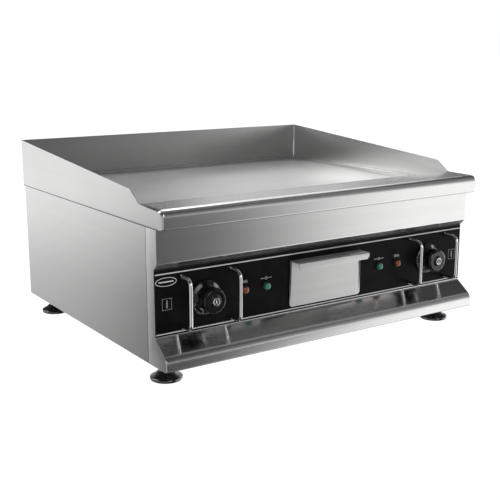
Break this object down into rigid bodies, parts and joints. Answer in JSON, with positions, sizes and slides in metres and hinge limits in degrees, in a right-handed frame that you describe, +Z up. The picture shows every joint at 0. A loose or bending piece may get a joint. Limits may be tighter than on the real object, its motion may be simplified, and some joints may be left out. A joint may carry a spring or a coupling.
{
  "type": "flat top griddle",
  "caption": "Counter-top electric griddle: flat steel plate in a splash hood, black control panel with guarded knobs, pilot lamps and a grease drawer, on levelling feet.",
  "frame": {"origin": "centre of the footprint, on the surface that the feet stand on", "axes": "+X to the right as seen from the front, +Y to the back, +Z up"},
  "size_m": [0.7, 0.6219, 0.3578],
  "materials": {
    "stainless": "brushed stainless sheet",
    "griddle_steel": "ground mild steel",
    "bright_steel": "polished",
    "black_panel": "satin black printed panel",
    "black_plastic": "moulded black, semi-gloss",
    "lens_green": "translucent green",
    "lens_orange": "translucent orange",
    "ceramic_wool": "ceramic wool blanket",
    "copper": "drawn copper tube",
    "terminal_plastic": "moulded"
  },
  "bodies": {
    "body": {"back_panel": "stainless", "base_plate": "stainless", "cable_gland": "black_plastic", "control_overlay": "black_panel", "drain_spout": "stainless", "drawer_runner_left": "stainless", "drawer_runner_right": "stainless", "element_clamp_back": "griddle_steel", "element_clamp_front": "griddle_steel", "front_cheek_left": "stainless", "front_cheek_right": "stainless", "front_fascia": "stainless", "front_nose": "stainless", "grease_gutter": "stainless", "griddle_plate": "griddle_steel", "guard_left_inner": "bright_steel", "guard_left_outer": "bright_steel", "guard_right_inner": "bright_steel", "guard_right_outer": "bright_steel", "heat_shield": "stainless", "heating_element_left": "griddle_steel", "heating_element_right": "griddle_steel", "insulation": "ceramic_wool", "lamp_heat_left_body": "black_plastic", "lamp_heat_left_lens": "lens_orange", "lamp_heat_right_body": "black_plastic", "lamp_heat_right_lens": "lens_orange", "lamp_power_left_body": "black_plastic", "lamp_power_left_lens": "lens_green", "lamp_power_right_body": "black_plastic", "lamp_power_right_lens": "lens_green", "plate_rim": "stainless", "sensor_left": "copper", "sensor_right": "copper", "side_panel_left": "stainless", "side_panel_right": "stainless", "splash_back": "stainless", "splash_left": "stainless", "splash_right": "stainless", "terminal_block": "terminal_plastic", "thermostat_left": "terminal_plastic", "thermostat_right": "terminal_plastic"},
    "knob_left": {"knob_left": "black_plastic", "knob_cap_left": "bright_steel", "spindle_left": "bright_steel"},
    "knob_right": {"knob_right": "black_plastic", "knob_cap_right": "bright_steel", "spindle_right": "bright_steel"},
    "drawer": {"drawer_front": "stainless", "drawer_tray": "stainless"},
    "foot_front_left": {"foot_pad_front_left": "black_plastic", "foot_stud_front_left": "bright_steel"},
    "foot_back_left": {"foot_pad_back_left": "black_plastic", "foot_stud_back_left": "bright_steel"},
    "foot_front_right": {"foot_pad_front_right": "black_plastic", "foot_stud_front_right": "bright_steel"},
    "foot_back_right": {"foot_pad_back_right": "black_plastic", "foot_stud_back_right": "bright_steel"}
  },
  "joints": [
    {"name": "knob_left", "type": "hinge", "parent": "body", "child": "knob_left", "pos_m": [-0.2535, -0.27305, 0.139], "axis": [0, 1, 0], "range_deg": [0, 270]},
    {"name": "knob_right", "type": "hinge", "parent": "body", "child": "knob_right", "pos_m": [0.2535, -0.27305, 0.139], "axis": [0, 1, 0], "range_deg": [0, 270]},
    {"name": "drawer_slide", "type": "slide", "parent": "body", "child": "drawer", "axis": [0, -1, 0], "range_m": [0, 0.25]},
    {"name": "foot_front_left_screw", "type": "hinge", "parent": "body", "child": "foot_front_left", "pos_m": [-0.313, -0.24295, 0.035], "axis": [0, 0, 1], "continuous": true},
    {"name": "foot_back_left_screw", "type": "hinge", "parent": "body", "child": "foot_back_left", "pos_m": [-0.313, 0.23805, 0.035], "axis": [0, 0, 1], "continuous": true},
    {"name": "foot_front_right_screw", "type": "hinge", "parent": "body", "child": "foot_front_right", "pos_m": [0.313, -0.24295, 0.035], "axis": [0, 0, 1], "continuous": true},
    {"name": "foot_back_right_screw", "type": "hinge", "parent": "body", "child": "foot_back_right", "pos_m": [0.313, 0.23805, 0.035], "axis": [0, 0, 1], "continuous": true}
  ]
}
